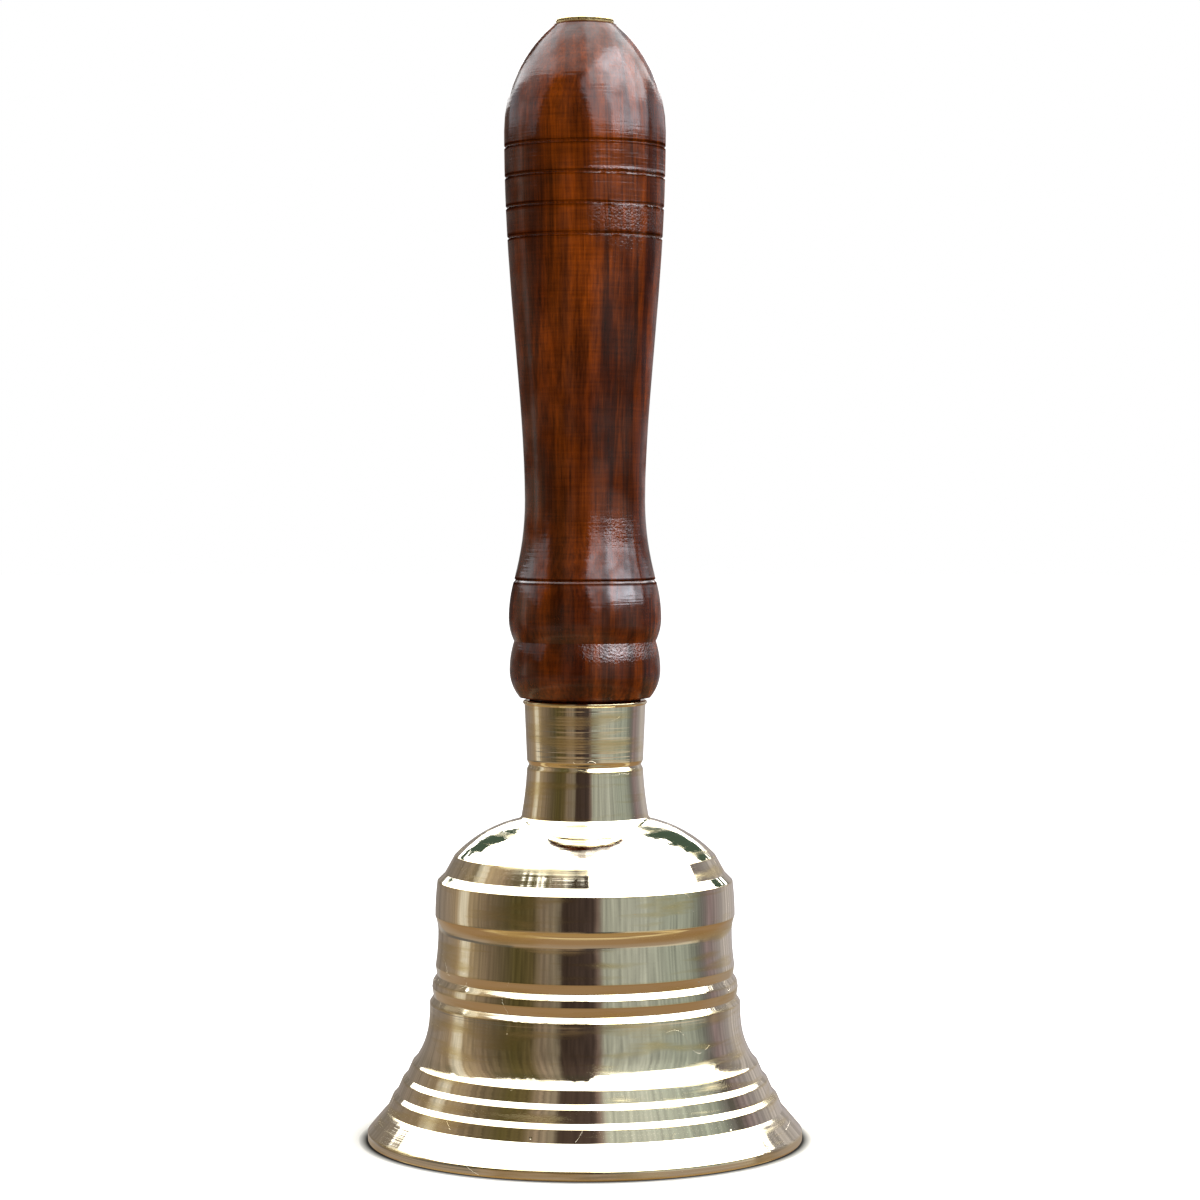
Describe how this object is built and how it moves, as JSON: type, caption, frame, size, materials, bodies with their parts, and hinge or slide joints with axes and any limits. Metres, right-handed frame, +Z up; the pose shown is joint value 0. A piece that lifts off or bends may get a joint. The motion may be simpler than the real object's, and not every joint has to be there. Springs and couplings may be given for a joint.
{
  "type": "hand bell",
  "caption": "Turned brass hand bell on a lacquered wooden handle, with a ball clapper hung inside that swings and rings it.",
  "frame": {"origin": "centre of the mouth plane, on the bell's axis, where the lip rests", "axes": "+Z up the bell's axis to the top of the handle; the clapper's main swing is in the XZ plane"},
  "size_m": [0.082, 0.082, 0.2119],
  "materials": {
    "polished_brass": "polished, with fine turning and buffing marks",
    "lacquered_wood": "stained dark red-brown, thick gloss lacquer",
    "button_brass": "polished",
    "rod_steel": "drawn and forged, dull",
    "zinc_steel": "zinc plated, satin",
    "wire_steel": "drawn wire, dull",
    "ball_brass": "turned, slightly dull"
  },
  "bodies": {
    "bell": {"bell_casting": "polished_brass", "handle": "lacquered_wood", "top_button": "button_brass", "tie_rod": "rod_steel", "crown_washer": "zinc_steel", "crown_nut": "zinc_steel"},
    "link": {"clapper_link": "wire_steel"},
    "clapper": {"clapper_shank": "wire_steel", "clapper_ball": "ball_brass"}
  },
  "joints": [
    {"name": "clapper_swing", "type": "hinge", "parent": "bell", "child": "link", "pos_m": [0, 0, 0.0422], "axis": [0, 1, 0], "range_deg": [-40, 40]},
    {"name": "clapper_sway", "type": "hinge", "parent": "link", "child": "clapper", "pos_m": [0, 0, 0.0347], "axis": [1, 0, 0], "range_deg": [-12, 12]}
  ]
}
